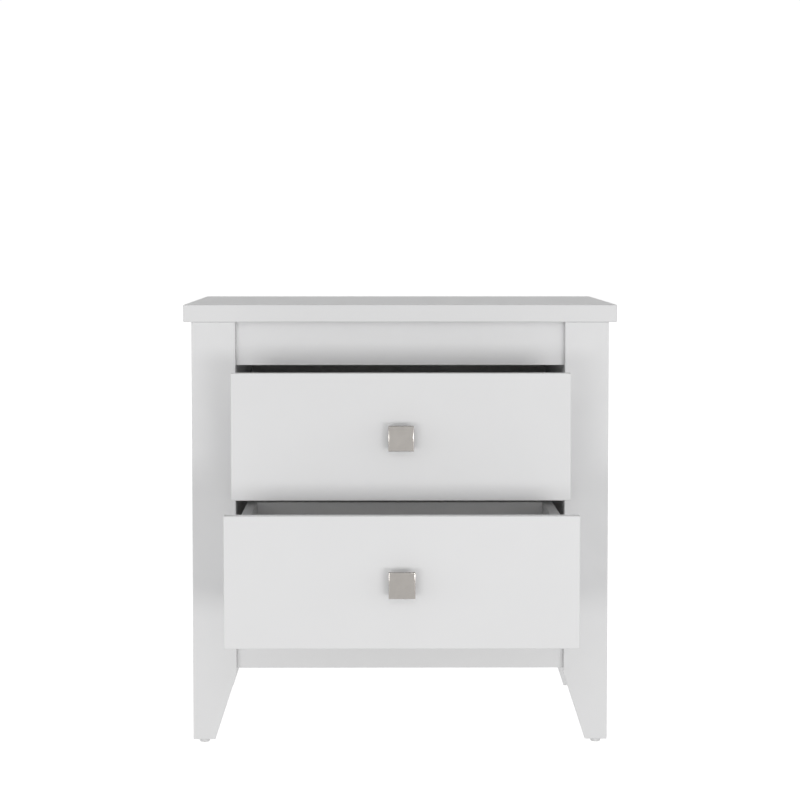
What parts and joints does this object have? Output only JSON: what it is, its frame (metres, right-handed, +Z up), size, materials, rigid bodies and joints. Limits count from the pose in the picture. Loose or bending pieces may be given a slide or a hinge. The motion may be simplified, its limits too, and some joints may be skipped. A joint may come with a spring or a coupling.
{
  "type": "nightstand with drawers",
  "caption": "White nightstand with an overhanging top, flat tapered legs and drawers that slide out by square metal knobs.",
  "frame": {"origin": "on the floor, at the middle of the box that the whole object takes up with its drawers standing open as stored", "axes": "+Y from the front to the back, +X to the right seen from the front, +Z up"},
  "size_m": [0.55, 0.7384, 0.561],
  "materials": {
    "white_board": "white satin laminate on board",
    "white_sheet": "white-faced hardboard",
    "satin_nickel": "satin nickel",
    "galvanised_steel": "zinc-plated sheet steel",
    "zinc_plated_steel": "zinc plated",
    "zinc_casting": "as cast zinc",
    "retainer_plastic": "natural plastic",
    "glide_plastic": "pale grey plastic",
    "beech": "bare beech"
  },
  "bodies": {
    "case": {"back_panel": "white_sheet", "back_panel_nails": "zinc_plated_steel", "case_cam_bolts": "zinc_plated_steel", "case_cam_locks": "zinc_casting", "case_dowels": "beech", "case_floor": "white_board", "front_apron": "white_board", "front_bottom_rail": "white_board", "front_left_leg": "white_board", "front_right_leg": "white_board", "left_base_batten": "white_board", "left_runner_panel": "white_board", "left_side_panel": "white_board", "leg_glides": "glide_plastic", "lower_left_slide_case_member": "galvanised_steel", "lower_right_slide_case_member": "galvanised_steel", "rear_left_leg": "white_board", "rear_right_leg": "white_board", "rear_top_rail": "white_board", "right_base_batten": "white_board", "right_runner_panel": "white_board", "right_side_panel": "white_board", "slide_case_screws": "zinc_plated_steel", "top_panel": "white_board", "upper_left_slide_case_member": "galvanised_steel", "upper_right_slide_case_member": "galvanised_steel"},
    "upper_drawer": {"upper_drawer_back": "white_board", "upper_drawer_back_screws": "zinc_plated_steel", "upper_drawer_bottom": "white_sheet", "upper_drawer_cam_bolts": "zinc_plated_steel", "upper_drawer_cam_locks": "zinc_casting", "upper_drawer_front": "white_board", "upper_drawer_left_side": "white_board", "upper_drawer_right_side": "white_board", "upper_knob": "satin_nickel", "upper_knob_screw": "zinc_plated_steel", "upper_left_slide_drawer_member": "galvanised_steel", "upper_right_slide_drawer_member": "galvanised_steel", "upper_slide_drawer_screws": "zinc_plated_steel"},
    "lower_drawer": {"lower_drawer_back": "white_board", "lower_drawer_back_screws": "zinc_plated_steel", "lower_drawer_bottom": "white_sheet", "lower_drawer_cam_bolts": "zinc_plated_steel", "lower_drawer_cam_locks": "zinc_casting", "lower_drawer_front": "white_board", "lower_drawer_left_side": "white_board", "lower_drawer_right_side": "white_board", "lower_knob": "satin_nickel", "lower_knob_screw": "zinc_plated_steel", "lower_left_slide_drawer_member": "galvanised_steel", "lower_right_slide_drawer_member": "galvanised_steel", "lower_slide_drawer_screws": "zinc_plated_steel"},
    "upper_slide_middle": {"upper_left_slide_middle_member": "galvanised_steel", "upper_right_slide_middle_member": "galvanised_steel", "upper_slide_ball_retainers": "retainer_plastic"},
    "lower_slide_middle": {"lower_left_slide_middle_member": "galvanised_steel", "lower_right_slide_middle_member": "galvanised_steel", "lower_slide_ball_retainers": "retainer_plastic"}
  },
  "joints": [
    {"name": "upper_drawer_slide", "type": "slide", "parent": "case", "child": "upper_drawer", "axis": [0, -1, 0], "range_m": [-0.138, 0.162]},
    {"name": "upper_middle_slide", "type": "slide", "parent": "case", "child": "upper_slide_middle", "axis": [0, -1, 0], "range_m": [-0.069, 0.081]},
    {"name": "lower_drawer_slide", "type": "slide", "parent": "case", "child": "lower_drawer", "axis": [0, -1, 0], "range_m": [-0.288, 0.012]},
    {"name": "lower_middle_slide", "type": "slide", "parent": "case", "child": "lower_slide_middle", "axis": [0, -1, 0], "range_m": [-0.144, 0.006]}
  ],
  "couplings": [
    {"joint": "upper_middle_slide", "follows": "upper_drawer_slide", "ratio": 0.5},
    {"joint": "lower_middle_slide", "follows": "lower_drawer_slide", "ratio": 0.5}
  ]
}
